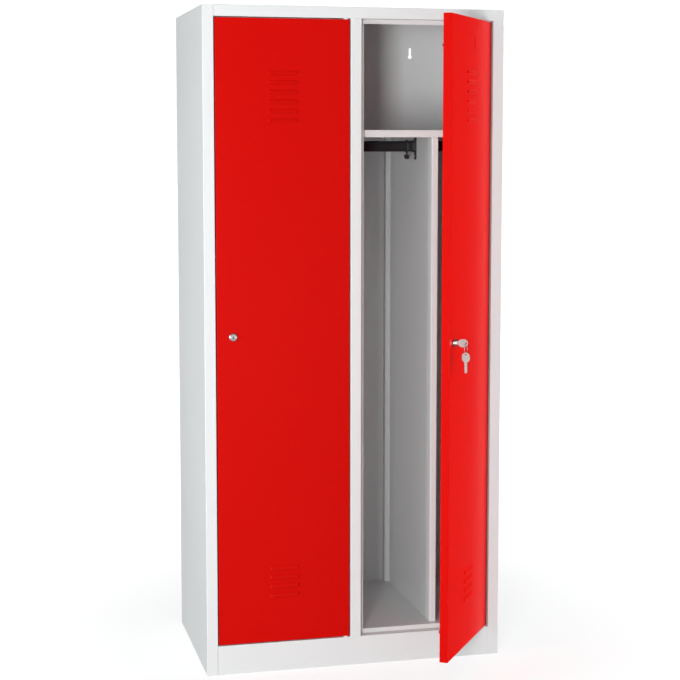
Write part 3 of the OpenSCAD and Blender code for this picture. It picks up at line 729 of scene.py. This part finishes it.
def make_split_ring(place):
    """Two turns of flattened wire, side by side."""
    ring = primitive(bpy.ops.mesh.primitive_plane_add, (WIRE_WIDTH, WIRE_THICKNESS, 1),
                     size=1, location=(RING_RADIUS, 0, -WIRE_PITCH),
                     rotation=(math.radians(90), 0, 0))
    choose(ring, "VERT")
    bpy.ops.mesh.bevel(offset=WIRE_ROUNDING, segments=3, affect="VERTICES")
    bpy.ops.mesh.delete(type="ONLY_FACE")
    done()
    apply_modifier(ring, "turns", "SCREW", axis="Z", steps=RING_STEPS,
                   render_steps=RING_STEPS, iterations=2, screw_offset=WIRE_PITCH)
    choose(ring, "VERT")
    bpy.ops.mesh.fill_holes(sides=0)
    bpy.ops.mesh.normals_make_consistent(inside=False)
    done()
    ring.name = "split_key_ring"
    put_in_place(ring, place)
    smooth(ring)
    seat(ring, "key_ring")


def make_keys():
    """The key in the right lock, and the spare key that hangs from it on the ring."""
    lock = lock_frame("right")
    ring_place = lock.inverted() @ (sum(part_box("key_ring"), Vector()) / 2)
    hole = lock.inverted() @ Vector(JOINTS["spare_key_swing"]["pos_m"])
    make_key("door_key", lock @ Matrix.Translation((0, ring_place.y + HOLE_OFFSET, 0))
             @ BLADE_INWARD)
    make_key("spare_key", lock @ Matrix.Translation((0, ring_place.y, hole.z - HOLE_OFFSET))
             @ BLADE_DOWN)
    make_split_ring(lock @ Matrix.Translation(ring_place)
                    @ Matrix.Rotation(math.radians(90), 4, "X"))


make_cabinet()
make_fittings()
for side in SIDES:
    make_door(side)
    make_lock(side)
make_keys()

# ---- Stage, light and camera ----
FLOOR_SIZE = 60
FLOOR_MIDDLE = (0, 20, 0)
PAPER_SHADES = (0.78, 0.82)
PAPER_IN_MIRRORS = 0.08
# The floor glows by itself more and more between these distances from the locker
GLOW_DISTANCES = (0.6, 2.2)
GLOW_SHARES = (0.55, 1.0)
GLOW_STRENGTH = 1.25

BACKDROP_TINT = (0.96, 0.98, 1.0, 1)
BACKDROP_LIGHT = 0.5
BACKDROP_IN_MIRRORS = 0.04
BACKDROP_TO_CAMERA = 1.1

CAMERA_PLACE = (-1.050, -4.411, 1.445)
CAMERA_DIP = math.radians(5.68)
CAMERA_TURN = math.radians(13.58)
CAMERA_LENS = 84.2
CAMERA_SENSOR = 36
CAMERA_SHIFT = -0.06


def map_range(tree, value, start, end):
    """Turns a value within the start's limits into one within the end's limits."""
    return add(tree, "ShaderNodeMapRange", {
        "Value": value, "From Min": start[0], "From Max": start[1],
        "To Min": end[0], "To Max": end[1]}).outputs[0]


def make_paper():
    """White studio paper that is dim in mirrors and plain white away from the locker."""
    paper = bpy.data.materials.new("studio paper")
    paper.use_nodes = True
    tree = paper.node_tree
    shader = tree.nodes["Principled BSDF"]
    path = add(tree, "ShaderNodeLightPath").outputs
    place = object_place(tree)
    fibre = grain(tree, place, per_metre=220.0, detail=3.0)
    shade = map_range(tree, fibre, (0.0, 1.0), PAPER_SHADES)
    seen = mix_values(tree, path["Is Glossy Ray"], shade, PAPER_IN_MIRRORS)
    set_inputs(tree, shader, {"Base Color": seen, "Roughness": 0.9,
                              "Specular IOR Level": 0.1})
    away = add(tree, "ShaderNodeVectorMath", {0: place}, operation="LENGTH").outputs["Value"]
    share = map_range(tree, away, GLOW_DISTANCES, GLOW_SHARES)
    lit = calculate(tree, "MULTIPLY", share, path["Is Camera Ray"])
    glow = add(tree, "ShaderNodeEmission", {"Strength": GLOW_STRENGTH})
    mix = add(tree, "ShaderNodeMixShader", {0: lit, 1: shader.outputs[0],
                                            2: glow.outputs[0]})
    set_inputs(tree, tree.nodes["Material Output"], {"Surface": mix.outputs[0]})
    return paper


def make_backdrop():
    """A world that is white to the camera, lights dimly and is dark in mirrors."""
    world = bpy.data.worlds.new("studio")
    world.use_nodes = True
    tree = world.node_tree
    path = add(tree, "ShaderNodeLightPath").outputs
    lit = mix_values(tree, path["Is Glossy Ray"], BACKDROP_LIGHT, BACKDROP_IN_MIRRORS)
    seen = mix_values(tree, path["Is Camera Ray"], lit, BACKDROP_TO_CAMERA)
    set_inputs(tree, tree.nodes["Background"], {"Color": BACKDROP_TINT, "Strength": seen})
    bpy.context.scene.world = world


def make_stage():
    """The paper floor and the backdrop."""
    floor = primitive(bpy.ops.mesh.primitive_plane_add, size=FLOOR_SIZE,
                      location=FLOOR_MIDDLE)
    floor.name = "studio_floor"
    floor.data.materials.append(make_paper())
    make_backdrop()


def add_lamp(name, place, target, size, power, spread=180, lights=True, mirrored=True):
    """A soft lamp: its place, what it faces, its width and height, and its power in watts.

    A card that lights nothing is there to be mirrored in the metal pieces.
    """
    lamp = bpy.data.lights.new(name, "AREA")
    lamp.shape = "RECTANGLE"
    lamp.size, lamp.size_y = size
    lamp.energy, lamp.spread = power, math.radians(spread)
    obj = bpy.data.objects.new(name, lamp)
    obj.visible_diffuse = lights
    obj.visible_glossy = mirrored
    obj.location = place
    obj.rotation_euler = (Vector(target) - Vector(place)).to_track_quat("-Z", "Y").to_euler()
    bpy.context.scene.collection.objects.link(obj)


def make_lamps():
    """Softboxes round the locker. The gridded one lights the open door, not the side wall."""
    add_lamp("key softbox", (-2.15, -5.2, 0.95), (0.1, -0.2, 0.9), (0.8, 2.0), 188)
    add_lamp("left softbox", (-4.0, -1.2, 1.0), (-0.415, 0, 0.9), (1.5, 2.2), 88)
    add_lamp("right softbox", (4.1, -0.3, 0.95), (0.3, -0.4, 0.9), (1.2, 2.2), 60,
             mirrored=False)
    add_lamp("gridded softbox", (1.9, -0.74, 0.95), (0, -0.74, 0.95), (1.0, 2.4), 7.6,
             spread=3, mirrored=False)
    add_lamp("top softbox", (-0.8, -2.6, 3.6), (0, -0.25, 1.2), (1.6, 0.8), 11,
             mirrored=False)
    add_lamp("front card", (0.3, -4.7, 0.45), (0, -0.25, 0.9), (3.0, 1.4), 9, lights=False)
    add_lamp("left card", (-3.3, -3.3, 0.5), (0.2, -0.5, 0.9), (1.8, 1.6), 2.5, lights=False)


def add_camera():
    """The photo's view, from a fit to the cabinet's corners."""
    data = bpy.data.cameras.new("photo view")
    data.lens, data.sensor_width = CAMERA_LENS, CAMERA_SENSOR
    data.shift_y = CAMERA_SHIFT
    data.clip_start, data.clip_end = 0.1, 60
    camera = bpy.data.objects.new("photo view", data)
    camera.location = CAMERA_PLACE
    camera.rotation_euler = (math.radians(90) - CAMERA_DIP, 0, -CAMERA_TURN)
    bpy.context.scene.collection.objects.link(camera)
    bpy.context.scene.camera = camera


make_stage()
make_lamps()
add_camera()
bpy.context.scene.view_settings.view_transform = "Standard"
